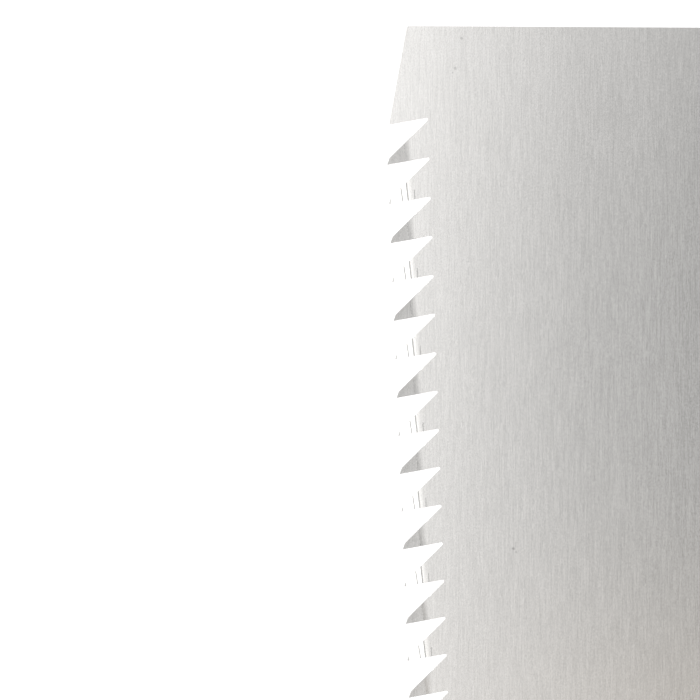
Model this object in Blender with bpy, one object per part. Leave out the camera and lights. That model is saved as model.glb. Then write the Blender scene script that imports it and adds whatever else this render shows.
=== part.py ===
"""A ryoba: a Japanese pull saw with rip teeth on one edge and crosscut teeth on the other.

The blade lifts out of a folded steel socket, which a screw clamps shut on its tang.
The socket is pinned between two halves of a wooden handle, wound with a flat strip of cane.
The saw is drawn with its toe towards +Y, its rip edge at -X and its blade flat.
"""

import math
from dataclasses import dataclass

import bmesh
import bpy
import numpy as np
from mathutils import Vector

MM = 0.001

# Fits
FIT = 0.3 * MM  # gap between two pieces that touch
GLUE_LINE = 0.2 * MM  # between the handle's two halves

# Blade sheet
BLADE_LENGTH = 250.0 * MM  # toe edge to heel ledge
TOE_WIDTH = 96.0 * MM  # between the two tooth lines, at the toe edge
TOOTH_LINE_LEAN = math.radians(2.63)  # each tooth line leans in towards the handle
BLADE_THICKNESS = 0.5 * MM
TOE_RELIEF = 2.55 * MM  # toe corner, in from the tooth line
TOE_ROUND = 0.3 * MM
NOSE_STEP = 0.36 * MM  # end of the plain nose, in from the tooth line
HEEL_PLAIN = 8.0 * MM  # edge without teeth, above the heel ledge
HEEL_STEP = 1.0 * MM  # that plain edge, in from the tooth line
HEEL_ROUND = 2.0 * MM
HEEL_LEDGE = 3.5 * MM  # from the heel corner to where the shoulder's curve begins
NECK_LENGTH = 12.0 * MM  # straight neck, from the socket's mouth to the shoulders
TANG_BELOW_SCREW = 20.0 * MM
TANG_CHAMFER = 2.0 * MM

# Socket, folded from sheet steel
SOCKET_WIDTH = 21.0 * MM
SOCKET_WALL = 1.5 * MM
SOCKET_REACH = 30.0 * MM  # in front of the handle
SOCKET_SEAT = 60.0 * MM  # inside the handle
SOCKET_CORNER = 3.0 * MM
SOCKET_PIN_RADIUS = 2.0 * MM
SOCKET_PIN_PLACES = (30.0 * MM, 48.0 * MM)  # behind the handle's front
PIN_CHAMFER = 0.4 * MM

# Clamp screw, spring washer and nut
SCREW_AHEAD = 14.0 * MM  # screw axis, in front of the handle
SHANK_RADIUS = 2.4 * MM
HEAD_RADIUS = 4.75 * MM
HEAD_RIM = 1.8 * MM  # straight part of the head
HEAD_DOME = 1.2 * MM
DRIVER_SLOT_WIDTH = 1.2 * MM
DRIVER_SLOT_DEPTH = 1.5 * MM
SHANK_CHAMFER = 0.5 * MM
SHANK_PAST_NUT = 1.0 * MM
WASHER_RADIUS = 4.4 * MM
WASHER_THICKNESS = 1.2 * MM
WASHER_SPLIT = math.radians(14.0)
NUT_ACROSS_FLATS = 8.0 * MM
NUT_THICKNESS = 4.0 * MM
NUT_CHAMFER_SLOPE = 0.6  # fall per unit of radius, past the flats

# Handle
HANDLE_LENGTH = 290.0 * MM
CHEEK = 3.5 * MM  # wood at each side of the socket, at the handle's front
FRONT_THICKNESS = 20.5 * MM
BUTT_FLARE_WIDTH = 3.0 * MM  # how much wider the butt is than the front
BUTT_FLARE_THICKNESS = 2.5 * MM
BUTT_ROUND = 2.5 * MM
FERRULE_LENGTH = 14.0 * MM
FERRULE_WALL = 1.0 * MM
FERRULE_CHAMFER = 0.35 * MM

# Cane strip wound on the handle
STRIP_WIDTH = 8.1 * MM
STRIP_THICKNESS = 1.6 * MM
STRIP_EDGE = 0.9 * MM  # thickness at the strip's edges, under its crown
STRIP_CROWN = 4.6 * MM  # width of the flat crown
STRIP_POINT = 0.95 * MM  # width left at the two shaved ends
TURN_GAP = 0.45 * MM
TURNS = 24
WRAP_START = 20.0 * MM  # behind the handle's front
TURN_POINTS = 24

# Facets of round shapes
ROUND_SIDES = 32
CORNER_POINTS = 5
ARC_POINTS = 12
QUARTER_STEPS = 6
SMOOTH_BELOW = math.radians(35)

# Places that follow from the sizes above. Y is 0 at the handle's front and Z is 0 in the blade.
SOCKET_SLOT = BLADE_THICKNESS + 2 * FIT
SOCKET_HALF = SOCKET_SLOT / 2 + SOCKET_WALL
TANG_WIDTH = SOCKET_WIDTH - 2 * (SOCKET_WALL + FIT)
TANG_END = SCREW_AHEAD - TANG_BELOW_SCREW
NECK_START = SOCKET_REACH + FIT
LEAN_SIN, LEAN_COS = math.sin(TOOTH_LINE_LEAN), math.cos(TOOTH_LINE_LEAN)
HEEL_HALF = TOE_WIDTH / 2 - (BLADE_LENGTH * LEAN_SIN + HEEL_STEP) / LEAN_COS
SHOULDER_RADIUS = HEEL_HALF - SOCKET_WIDTH / 2 - HEEL_LEDGE
HEEL_Y = NECK_START + NECK_LENGTH + SHOULDER_RADIUS
TOE_Y = HEEL_Y + BLADE_LENGTH
SCREW_HOLE = SHANK_RADIUS + FIT
WASHER_SEAT = SOCKET_HALF + FIT
HEAD_SEAT = WASHER_SEAT + WASHER_THICKNESS + FIT
NUT_SEAT = -SOCKET_HALF - FIT
FRONT_WIDTH = SOCKET_WIDTH + 2 * CHEEK
BUTT_WIDTH = FRONT_WIDTH + BUTT_FLARE_WIDTH
BUTT_THICKNESS = FRONT_THICKNESS + BUTT_FLARE_THICKNESS
TURN_PITCH = STRIP_WIDTH + TURN_GAP
WRAP_LENGTH = TURN_PITCH * (TURNS - 1) - TURN_GAP
RECESS_DEPTH = STRIP_THICKNESS + FIT
PAST = 5.0 * MM  # how far a cutter runs past the wall it cuts


@dataclass(frozen=True)
class ToothRow:
    """One toothed edge. Shares are of the pitch, and slopes are along the line per unit of depth."""

    side: int  # -1 is the rip edge, 1 the crosscut edge
    first_tip: float  # from the toe, along the tooth line
    pitch: float  # between the first two tips
    pitch_step: float  # how much finer each pitch is than the one before it
    facet_along: float  # share: the small top facet behind the tip, along the line
    facet_deep: float  # share: the same facet's depth
    back_slope: float
    front_slope: float  # below 0 where the tooth hooks towards the handle
    gullet_round: float  # share, or 0 for a sharp gullet
    bends: tuple  # shares: depths of the lines that the set bends at, deepest first
    set_out: float  # how far a tip stands out of the sheet
    bevel: float  # share: how far the far side of a tooth is filed back
    bevel_tip: float  # share: depth of the far side's tip
    root_depth: float  # inner edge of the row, in from the tooth line

    def tip(self, tooth):
        return self.first_tip + tooth * self.pitch - self.pitch_step * tooth * (tooth - 1) / 2

    def pitch_at(self, tooth):
        return self.pitch - self.pitch_step * tooth

    def front(self, tooth, depth):
        return self.tip(tooth) + self.front_slope * depth

    def back(self, tooth, depth):
        pitch = self.pitch_at(tooth)
        below_facet = depth - self.facet_deep * pitch
        return self.tip(tooth) - self.facet_along * pitch - self.back_slope * below_facet

    def gullet_depth(self, gullet):
        """Where the front of the tooth above a gullet meets the back of the tooth below it."""
        gap = self.back(gullet, 0.0) - self.front(gullet - 1, 0.0)
        return gap / (self.front_slope + self.back_slope)

    def count(self, last):
        teeth = 0
        while self.tip(teeth) < last:
            teeth += 1
        return teeth


RIP = ToothRow(
    side=-1,
    first_tip=13.775 * MM,
    pitch=3.938 * MM,
    pitch_step=0.0198 * MM,
    facet_along=0.150,
    facet_deep=0.0635,
    back_slope=0.907,
    front_slope=-0.142,
    gullet_round=0.040,
    bends=(0.72, 0.50),
    set_out=0.18 * MM,
    bevel=0.0,
    bevel_tip=0.0,
    root_depth=6.5 * MM,
)
CROSSCUT = ToothRow(
    side=1,
    first_tip=11.5 * MM,
    pitch=1.70 * MM,
    pitch_step=0.0,
    facet_along=0.150,
    facet_deep=0.120,
    back_slope=0.50,
    front_slope=0.22,
    gullet_round=0.0,
    bends=(),
    set_out=0.10 * MM,
    bevel=0.19,
    bevel_tip=0.42,
    root_depth=4.5 * MM,
)


def clear_scene():
    for obj in list(bpy.data.objects):
        bpy.data.objects.remove(obj, do_unlink=True)


def finish(name, colour, roughness, metallic):
    made = bpy.data.materials.new(name)
    made.use_nodes = True
    shader = made.node_tree.nodes["Principled BSDF"]
    shader.inputs["Base Color"].default_value = (*colour, 1.0)
    shader.inputs["Roughness"].default_value = roughness
    shader.inputs["Metallic"].default_value = metallic
    return made


def add_part(name, shape, material, frame, location=(0.0, 0.0, 0.0), smooth_angle=None):
    """Turns a bmesh into a named object under the saw's frame."""
    mesh = bpy.data.meshes.new(name)
    shape.to_mesh(mesh)
    shape.free()
    obj = bpy.data.objects.new(name, mesh)
    bpy.context.scene.collection.objects.link(obj)
    obj.parent = frame
    obj.location = location
    if material:
        mesh.materials.append(material)
    if smooth_angle:
        mesh.shade_smooth()
        mesh.set_sharp_from_angle(angle=smooth_angle)
    return obj


def shape_with(obj, operation, name, shape, frame, location=(0.0, 0.0, 0.0)):
    """Cuts an object by a hidden tool, or keeps what is inside the tool."""
    tool = add_part(name, shape, None, frame, location)
    tool.hide_render = True
    tool.display_type = "WIRE"
    modifier = obj.modifiers.new(name, "BOOLEAN")
    modifier.operation = operation
    modifier.solver = "EXACT"
    modifier.object = tool


def prism(outline, low, high):
    """An outline in X and Y, extruded from one height to another."""
    shape = bmesh.new()
    face = shape.faces.new([shape.verts.new((x, y, low)) for x, y in outline])
    made = bmesh.ops.extrude_face_region(shape, geom=[face])
    raised = [item for item in made["geom"] if isinstance(item, bmesh.types.BMVert)]
    bmesh.ops.translate(shape, vec=(0.0, 0.0, high - low), verts=raised)
    bmesh.ops.recalc_face_normals(shape, faces=shape.faces)
    return shape


def skin(rings, split=False, closed=False):
    """Quads between rings of points, with a face on each end unless the rings themselves close up.

    A split skin has half rings, and one flat face from the first to the last point of them all.
    """
    shape = bmesh.new()
    rows = [[shape.verts.new(point) for point in ring] for ring in rings]
    steps = len(rows) if closed else len(rows) - 1
    sides = len(rows[0]) - 1 if split else len(rows[0])
    for step in range(steps):
        here, there = rows[step], rows[(step + 1) % len(rows)]
        for side in range(sides):
            other = (side + 1) % len(here)
            shape.faces.new((here[side], here[other], there[other], there[side]))
    if not closed:
        shape.faces.new(rows[0])
        shape.faces.new(rows[-1])
    if split:
        shape.faces.new([row[0] for row in rows] + [row[-1] for row in reversed(rows)])
    bmesh.ops.recalc_face_normals(shape, faces=shape.faces)
    return shape


def turned(profile):
    """A solid turned about Z from (radius, height) points, with a flat face on each end."""
    angles = [2 * math.pi * side / ROUND_SIDES for side in range(ROUND_SIDES)]
    return skin([[(r * math.cos(a), r * math.sin(a), z) for a in angles] for r, z in profile])


def rounded_corner(before, corner, after, radius, points):
    """Points of an arc that rounds off one corner of an outline."""
    towards = (Vector(before) - Vector(corner)).normalized()
    away = (Vector(after) - Vector(corner)).normalized()
    half = towards.angle(away) / 2
    centre = Vector(corner) + (towards + away).normalized() * radius / math.sin(half)
    first = Vector(corner) + towards * radius / math.tan(half) - centre
    last = Vector(corner) + away * radius / math.tan(half) - centre
    sweep = first.angle(last)
    made = []
    for step in range(points):
        share = step / (points - 1)
        turn = first * math.sin((1 - share) * sweep) + last * math.sin(share * sweep)
        made.append(tuple(centre + turn / math.sin(sweep)))
    return made


class Sheet:
    """The blade as pairs of points, one on each face of the steel, and the faces between them."""

    def __init__(self):
        self.pairs = []
        self.faces = []

    def point(self, place, far_place=None, lift=0.0, far_is_top=False):
        half = BLADE_THICKNESS / 2
        far_place = far_place or place
        top, bottom = (far_place, place) if far_is_top else (place, far_place)
        self.pairs.append(((*top, lift + half), (*bottom, lift - half)))
        return len(self.pairs) - 1

    def face(self, corners, side=-1):
        """Corners run anticlockwise from above on the rip side, and are turned round on the other."""
        self.faces.append(corners if side < 0 else corners[::-1])

    def solid(self, outline):
        shape = bmesh.new()
        top = [shape.verts.new(pair[0]) for pair in self.pairs]
        bottom = [shape.verts.new(pair[1]) for pair in self.pairs]
        for corners in self.faces:
            shape.faces.new([top[i] for i in corners])
            shape.faces.new([bottom[i] for i in reversed(corners)])
        for here, there in zip(outline, outline[1:] + outline[:1]):
            shape.faces.new((top[here], bottom[here], bottom[there], top[there]))
        return shape


def on_edge(side, along, depth):
    """A place in the sheet, from how far it is along a tooth line and how deep inside it."""
    x = TOE_WIDTH / 2 - along * LEAN_SIN - depth * LEAN_COS
    y = TOE_Y - along * LEAN_COS + depth * LEAN_SIN
    return side * x, y


def on_toe(side, depth):
    """A place on the toe edge, from how far it is inside the tooth line."""
    return on_edge(side, depth * LEAN_SIN / LEAN_COS, depth)


def gullet_places(row, gullet):
    """The bottom of one gullet: a small arc, or one sharp point."""
    depth = row.gullet_depth(gullet)
    bottom = (row.front(gullet - 1, depth), depth)
    if not row.gullet_round:
        return [bottom]
    upper = (row.front(gullet - 1, 0.0), 0.0)
    lower = (row.back(gullet, 0.0), 0.0)
    return rounded_corner(upper, bottom, lower, row.gullet_round * row.pitch_at(gullet), 3)


def add_tooth_row(sheet, row):
    """Adds one row of set and filed teeth. Returns its outline and inner edge from the toe down."""
    teeth = row.count((BLADE_LENGTH - HEEL_PLAIN) / LEAN_COS)
    gullets, roots = [], []
    for gullet in range(teeth + 1):
        places = gullet_places(row, gullet)
        gullets.append([sheet.point(on_edge(row.side, along, depth)) for along, depth in places])
        roots.append(sheet.point(on_edge(row.side, places[len(places) // 2][0], row.root_depth)))
    middle = len(gullets[0]) // 2
    outline = []
    for tooth in range(teeth):
        above, below = gullets[tooth], gullets[tooth + 1]
        backs, tip, fronts = add_tooth(sheet, row, tooth)
        base = above[middle:] + backs[:1] + fronts[-1:] + below[: middle + 1]
        sheet.face(base + [roots[tooth + 1], roots[tooth]], row.side)
        for step in range(len(backs) - 1):
            sheet.face([backs[step], backs[step + 1], fronts[-2 - step], fronts[-1 - step]], row.side)
        root_of_tip = (backs[-1:], fronts[:1]) if backs else (above[-1:], below[:1])
        sheet.face(root_of_tip[0] + tip + root_of_tip[1], row.side)
        outline += above + backs + tip + fronts
    return outline + gullets[-1], roots, gullets[0][: middle + 1], gullets[-1][middle:], teeth


def add_tooth(sheet, row, tooth):
    """One tooth, set towards the face that it is filed to. Even teeth are set up, odd ones down."""
    pitch = row.pitch_at(tooth)
    up = tooth % 2 == 0
    bends = [share * pitch for share in row.bends] or [row.gullet_depth(tooth)]
    straight_from = (bends[0] + bends[-1]) / 2
    slope = row.set_out / straight_from * (1 if up else -1)

    def lift(depth):
        return slope * max(0.0, straight_from - depth)

    def corner(edge, depth, inwards):
        far_depth = max(depth, row.bevel_tip * pitch)
        filed = row.bevel * pitch * (1 - far_depth / row.gullet_depth(tooth))
        near = on_edge(row.side, edge(tooth, depth), depth)
        far = on_edge(row.side, edge(tooth, far_depth) + inwards * filed, far_depth)
        return sheet.point(near, far, lift(depth), far_is_top=not up)

    lines = [share * pitch for share in row.bends]
    backs = [corner(row.back, depth, 1) for depth in lines]
    tip = [corner(row.back, row.facet_deep * pitch, 1), corner(row.front, 0.0, -1)]
    fronts = [corner(row.front, depth, -1) for depth in reversed(lines)]
    return backs, tip, fronts


def add_nose(sheet, row, root, first_gullet):
    """The plain corner between the toe edge and the first gullet, as an outline from the toe down."""
    nose_end = on_edge(row.side, row.front(-1, NOSE_STEP), NOSE_STEP)
    toe_corner = on_toe(row.side, TOE_RELIEF)
    toe_inner = on_toe(row.side, row.root_depth)
    arc = rounded_corner(toe_inner, toe_corner, nose_end, TOE_ROUND, CORNER_POINTS)
    inner = sheet.point(toe_inner)
    outline = [sheet.point(place) for place in arc] + [sheet.point(nose_end)]
    sheet.face([inner] + outline + first_gullet + [root], row.side)
    return inner, outline


def add_heel(sheet, row, teeth):
    """The plain edge below the last tooth, the ledge and the shoulder, down to the neck."""
    start = on_edge(row.side, row.back(teeth, HEEL_STEP), HEEL_STEP)
    heel_corner = (row.side * HEEL_HALF, HEEL_Y)
    neck_x = SOCKET_WIDTH / 2
    ledge_end = (row.side * (neck_x + SHOULDER_RADIUS), HEEL_Y)
    places = [start] + rounded_corner(start, heel_corner, ledge_end, HEEL_ROUND, CORNER_POINTS)
    for step in range(ARC_POINTS):
        turn = math.pi / 2 * step / (ARC_POINTS - 1)
        x = neck_x + SHOULDER_RADIUS * (1 - math.sin(turn))
        places.append((row.side * x, HEEL_Y - SHOULDER_RADIUS * (1 - math.cos(turn))))
    places.append((row.side * neck_x, NECK_START))
    places.append((row.side * TANG_WIDTH / 2, NECK_START))
    return [sheet.point(place) for place in places]


def tang_places():
    """The tang below the neck: two prongs that straddle the clamp screw, from the rip side round."""
    half = TANG_WIDTH / 2
    chamfer = [(-half, TANG_END + TANG_CHAMFER), (-half + TANG_CHAMFER, TANG_END)]
    prong = chamfer + [(-SCREW_HOLE, TANG_END)]
    turns = [math.pi * (1 - step / (ARC_POINTS - 1)) for step in range(ARC_POINTS)]
    round_end = [(SCREW_HOLE * math.cos(a), SCREW_AHEAD + SCREW_HOLE * math.sin(a)) for a in turns]
    return prong + round_end + [(-x, y) for x, y in reversed(prong)]


def add_panel(sheet, left, right):
    """Triangles between the rows' inner edges, taking next whichever edge's point is higher up."""
    i = j = 0
    while i + 1 < len(left) or j + 1 < len(right):
        left_next = sheet.pairs[left[i + 1]][0][1] if i + 1 < len(left) else -math.inf
        right_next = sheet.pairs[right[j + 1]][0][1] if j + 1 < len(right) else -math.inf
        if left_next >= right_next:
            sheet.face([left[i], left[i + 1], right[j]])
            i += 1
        else:
            sheet.face([left[i], right[j + 1], right[j]])
            j += 1


def blade_shape():
    sheet = Sheet()
    edges = []
    for row in (RIP, CROSSCUT):
        teeth_outline, roots, first_gullet, last_gullet, teeth = add_tooth_row(sheet, row)
        inner, nose = add_nose(sheet, row, roots[0], first_gullet)
        heel = add_heel(sheet, row, teeth)
        edges.append(([inner] + nose + teeth_outline + heel, [inner] + roots, last_gullet + heel))
    (rip_edge, rip_root, rip_heel), (cross_edge, cross_root, cross_heel) = edges
    add_panel(sheet, rip_root, cross_root)
    sheet.face(rip_root[-1:] + rip_heel + cross_heel[::-1] + cross_root[-1:])
    tang = [sheet.point(place) for place in tang_places()]
    sheet.face(rip_edge[-1:] + tang + cross_edge[-1:])
    return sheet.solid(rip_edge + tang + cross_edge[::-1])


def socket_shape():
    """A strip folded over on the rip side into a flat socket, open opposite and at its mouth."""
    fold_x = -SOCKET_WIDTH / 2 + SOCKET_HALF
    open_x = SOCKET_WIDTH / 2
    turns = [math.pi / 2 + math.pi * step / ARC_POINTS for step in range(ARC_POINTS + 1)]
    outside = [(fold_x + SOCKET_HALF * math.cos(a), SOCKET_HALF * math.sin(a)) for a in turns]
    slot = SOCKET_SLOT / 2
    inside = [(fold_x + slot * math.cos(a), slot * math.sin(a)) for a in reversed(turns)]
    open_edge = [(open_x, -SOCKET_HALF), (open_x, -slot)]
    section = [(open_x, SOCKET_HALF)] + outside + open_edge + inside + [(open_x, slot)]
    return skin([[(x, y, z) for x, z in section] for y in (-SOCKET_SEAT, SOCKET_REACH)])


def socket_plan():
    """The socket seen from above: a long strip with its two mouth corners rounded."""
    half = SOCKET_WIDTH / 2
    back, mouth = -SOCKET_SEAT - PAST, SOCKET_REACH
    left = rounded_corner((0.0, mouth), (-half, mouth), (-half, back), SOCKET_CORNER, CORNER_POINTS)
    right = [(-x, y) for x, y in reversed(left)]
    wide, shoulder = half + PAST, mouth - SOCKET_CORNER
    return left + [(-wide, shoulder), (-wide, back), (wide, back), (wide, shoulder)] + right


def screw_shape():
    """A pan-head screw, with its origin under its head."""
    turns = (1.2, 0.9, 0.6, 0.3, 0.0)
    dome = [(HEAD_RADIUS * math.cos(a), HEAD_RIM + HEAD_DOME * math.sin(a)) for a in turns]
    end = NUT_SEAT - NUT_THICKNESS - SHANK_PAST_NUT - HEAD_SEAT
    tip = [(SHANK_RADIUS, end + SHANK_CHAMFER), (SHANK_RADIUS - SHANK_CHAMFER, end)]
    return turned(dome + [(HEAD_RADIUS, 0.0), (SHANK_RADIUS, 0.0)] + tip)


def box(low, high):
    (x0, y0, z0), (x1, y1, z1) = low, high
    return prism([(x0, y0), (x1, y0), (x1, y1), (x0, y1)], z0, z1)


def washer_shape():
    """A split ring, with its origin on its lower face."""
    lower = [(SCREW_HOLE, 0.0), (WASHER_RADIUS, 0.0)]
    section = lower + [(WASHER_RADIUS, WASHER_THICKNESS), (SCREW_HOLE, WASHER_THICKNESS)]
    sweep = 2 * math.pi - WASHER_SPLIT
    angles = [WASHER_SPLIT / 2 + sweep * step / (ROUND_SIDES - 1) for step in range(ROUND_SIDES)]
    return skin([[(r * math.cos(a), r * math.sin(a), z) for r, z in section] for a in angles])


def nut_shape():
    """A plain hexagon, with its origin on its upper face."""
    reach = NUT_ACROSS_FLATS / math.sqrt(3)
    corners = [(reach * math.cos(math.pi / 3 * i), reach * math.sin(math.pi / 3 * i)) for i in range(6)]
    return prism(corners, -NUT_THICKNESS, 0.0)


def nut_turning():
    """The turned blank that takes the corners off both faces of the nut."""
    rim = NUT_ACROSS_FLATS / 2
    reach = NUT_ACROSS_FLATS / math.sqrt(3) + FIT
    fall = (reach - rim) * NUT_CHAMFER_SLOPE
    return turned([(rim, 0.0), (reach, -fall), (reach, fall - NUT_THICKNESS), (rim, -NUT_THICKNESS)])


def pin_shape(half_length):
    neck = SOCKET_PIN_RADIUS - PIN_CHAMFER
    rim = half_length - PIN_CHAMFER
    upper = [(neck, half_length), (SOCKET_PIN_RADIUS, rim)]
    return turned(upper + [(radius, -height) for radius, height in reversed(upper)])


def handle_half(y, inset):
    """Half width and half thickness of the handle at a place along it, taken in by an inset."""
    share = -y / HANDLE_LENGTH
    width = FRONT_WIDTH + (BUTT_WIDTH - FRONT_WIDTH) * share
    thickness = FRONT_THICKNESS + (BUTT_THICKNESS - FRONT_THICKNESS) * share
    return width / 2 - inset, thickness / 2 - inset


def handle_steps():
    """(Y, inset) of each cross-section of the wood, from the front to the butt."""
    tenon = FERRULE_WALL + FIT
    wrap_front = -WRAP_START + FIT
    wrap_back = -WRAP_START - WRAP_LENGTH - FIT
    shoulder = -FERRULE_LENGTH - FIT
    steps = [(0.0, tenon), (shoulder, tenon), (shoulder, 0.0)]
    steps += [(wrap_front, 0.0), (wrap_front, RECESS_DEPTH), (wrap_back, RECESS_DEPTH), (wrap_back, 0.0)]
    for step in range(CORNER_POINTS):
        turn = math.pi / 2 * step / (CORNER_POINTS - 1)
        y = -HANDLE_LENGTH + BUTT_ROUND * (1 - math.sin(turn))
        steps.append((y, BUTT_ROUND * (1 - math.cos(turn))))
    return steps


def core_half_shape(up):
    """One half of the wooden handle, above or below the plane of the blade."""
    quarter = [math.pi / 2 * step / QUARTER_STEPS for step in range(QUARTER_STEPS + 1)]
    rings = []
    for y, inset in handle_steps():
        half_width, half_thickness = handle_half(y, inset)
        flat = half_width - half_thickness
        right = [(flat + half_thickness * math.cos(a), half_thickness * math.sin(a)) for a in quarter]
        ring = right + [(-x, z) for x, z in reversed(right)]
        rings.append([(x, y, up * max(z, GLUE_LINE / 2)) for x, z in ring])
    return skin(rings, split=True)


def oval_turns():
    """Turns for one loop round the oval: the two half circles, and the middle of each flat."""
    arc = math.pi / (TURN_POINTS / 2 - 2)
    right = [-math.pi / 2 + arc * step for step in range(TURN_POINTS // 2 - 1)]
    return right, [turn + math.pi for turn in right]


def oval_loop(y_at, inset):
    """Points round the handle's oval, from the middle of its lower flat.

    y_at gives Y from the share of the loop that has gone by.
    """
    points = []
    right, left = oval_turns()
    places = [("middle", -1)] + [("right", turn) for turn in right]
    places += [("middle", 1)] + [("left", turn) for turn in left]
    for index, (where, turn) in enumerate(places):
        y = y_at(index / len(places))
        half_width, half_thickness = handle_half(y, inset)
        flat = half_width - half_thickness
        if where == "middle":
            points.append(Vector((0.0, y, turn * half_thickness)))
        else:
            across = flat if where == "right" else -flat
            x = across + half_thickness * math.cos(turn)
            points.append(Vector((x, y, half_thickness * math.sin(turn))))
    return points


def strip_edges(turn):
    """Y of the strip's front and back edges after so many turns. Shaved ends finish it square."""
    front = -WRAP_START - TURN_PITCH * (turn - 1)
    back = front - STRIP_WIDTH
    return min(front, -WRAP_START), max(back, -WRAP_START - WRAP_LENGTH)


def strip_section(turn):
    """(Y, height above the recess) of the strip's six corners: a flat underside and a crowned face."""
    front, back = strip_edges(turn)
    middle, width = (front + back) / 2, front - back
    crown = STRIP_CROWN / STRIP_WIDTH * width / 2
    low, edge, high = FIT, FIT + STRIP_EDGE, FIT + STRIP_THICKNESS
    upper = [(front, edge), (middle + crown, high), (middle - crown, high), (back, edge)]
    return [(back, low), (front, low)] + upper


def wrap_rings():
    """Cross-sections of the wound strip, from its front end to its back end."""
    rings = []
    for turn in range(TURNS):
        loops = []
        for corner, (_, height) in enumerate(strip_section(turn)):
            def y_at(share, corner=corner, turn=turn):
                return strip_section(turn + share)[corner][0]
            loops.append(oval_loop(y_at, RECESS_DEPTH - height))
        rings += [list(points) for points in zip(*loops)]
    shaved_off = math.ceil((TURN_GAP + STRIP_POINT) / TURN_PITCH * TURN_POINTS)
    return rings[shaved_off:-shaved_off]


def least_turn_gap(rings):
    """Least distance between the points of one turn and those of the next."""
    points = np.array([[tuple(point) for point in ring] for ring in rings])
    here, there = points[:-TURN_POINTS], points[TURN_POINTS:]
    apart = np.linalg.norm(here[:, :, None, :] - there[:, None, :, :], axis=-1)
    return float(apart.min())


def ferrule_shape():
    """A drawn band on the front of the wood."""
    outer_front = oval_loop(lambda share: 0.0, FERRULE_CHAMFER)
    outer_edge = oval_loop(lambda share: -FERRULE_CHAMFER, 0.0)
    outer_back = oval_loop(lambda share: -FERRULE_LENGTH, 0.0)
    inner_back = oval_loop(lambda share: -FERRULE_LENGTH, FERRULE_WALL)
    inner_front = oval_loop(lambda share: 0.0, FERRULE_WALL)
    return skin([outer_front, outer_edge, outer_back, inner_back, inner_front], closed=True)


def cutting_cylinder(radius):
    return turned([(radius, BUTT_THICKNESS), (radius, -BUTT_THICKNESS)])


def build():
    clear_scene()
    frame = bpy.data.objects.new("saw", None)
    bpy.context.scene.collection.objects.link(frame)
    frame.location = (0.0, (HANDLE_LENGTH - TOE_Y) / 2, BUTT_THICKNESS / 2)

    steel = finish("blade_steel", (0.62, 0.61, 0.59), 0.32, 1.0)
    plated = finish("socket_steel", (0.60, 0.60, 0.60), 0.28, 1.0)
    zinc = finish("screw_steel", (0.52, 0.52, 0.53), 0.35, 1.0)
    brass = finish("ferrule_brass", (0.62, 0.45, 0.20), 0.35, 1.0)
    wood = finish("core_wood", (0.62, 0.44, 0.26), 0.55, 0.0)
    cane = finish("cane_strip", (0.66, 0.48, 0.25), 0.40, 0.0)

    add_part("blade", blade_shape(), steel, frame)

    socket = add_part("blade_socket", socket_shape(), plated, frame, smooth_angle=SMOOTH_BELOW)
    shape_with(socket, "INTERSECT", "socket_plan", prism(socket_plan(), -PAST, PAST), frame)
    screw_place = (0.0, SCREW_AHEAD, 0.0)
    shape_with(socket, "DIFFERENCE", "screw_hole", cutting_cylinder(SCREW_HOLE), frame, screw_place)

    head_place = (0.0, SCREW_AHEAD, HEAD_SEAT)
    screw = add_part("clamp_screw", screw_shape(), zinc, frame, head_place, SMOOTH_BELOW)
    head_top = HEAD_RIM + HEAD_DOME
    slot = box((-HEAD_RADIUS - PAST, -DRIVER_SLOT_WIDTH / 2, head_top - DRIVER_SLOT_DEPTH),
               (HEAD_RADIUS + PAST, DRIVER_SLOT_WIDTH / 2, head_top + PAST))
    shape_with(screw, "DIFFERENCE", "driver_slot", slot, frame, head_place)
    washer_place = (0.0, SCREW_AHEAD, WASHER_SEAT)
    add_part("spring_washer", washer_shape(), zinc, frame, washer_place, SMOOTH_BELOW)
    nut_place = (0.0, SCREW_AHEAD, NUT_SEAT)
    nut = add_part("clamp_nut", nut_shape(), zinc, frame, nut_place)
    shape_with(nut, "INTERSECT", "nut_turning", nut_turning(), frame, nut_place)
    shape_with(nut, "DIFFERENCE", "nut_bore", cutting_cylinder(SCREW_HOLE), frame, screw_place)

    halves = []
    for name, up in (("handle_core_upper", 1), ("handle_core_lower", -1)):
        halves.append(add_part(name, core_half_shape(up), wood, frame, smooth_angle=SMOOTH_BELOW))
    pocket_x, pocket_z = SOCKET_WIDTH / 2 + FIT, SOCKET_HALF + FIT
    for half in halves:
        pocket = box((-pocket_x, -SOCKET_SEAT - FIT, -pocket_z), (pocket_x, PAST, pocket_z))
        shape_with(half, "DIFFERENCE", half.name + "_pocket", pocket, frame)

    for name, behind in zip(("socket_pin_front", "socket_pin_rear"), SOCKET_PIN_PLACES):
        place = (0.0, -behind, 0.0)
        half_length = handle_half(-behind, RECESS_DEPTH)[1]
        add_part(name, pin_shape(half_length), plated, frame, place, SMOOTH_BELOW)
        for piece in [socket, *halves]:
            hole = cutting_cylinder(SOCKET_PIN_RADIUS + FIT)
            shape_with(piece, "DIFFERENCE", f"{piece.name}_{name}_hole", hole, frame, place)

    add_part("front_ferrule", ferrule_shape(), brass, frame, smooth_angle=SMOOTH_BELOW)
    rings = wrap_rings()
    add_part("cane_wrap", skin(rings), cane, frame, smooth_angle=SMOOTH_BELOW)
    print(f"least gap between turns of the cane: {least_turn_gap(rings) / MM:.2f} mm")


build()
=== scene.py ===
import math

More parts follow.
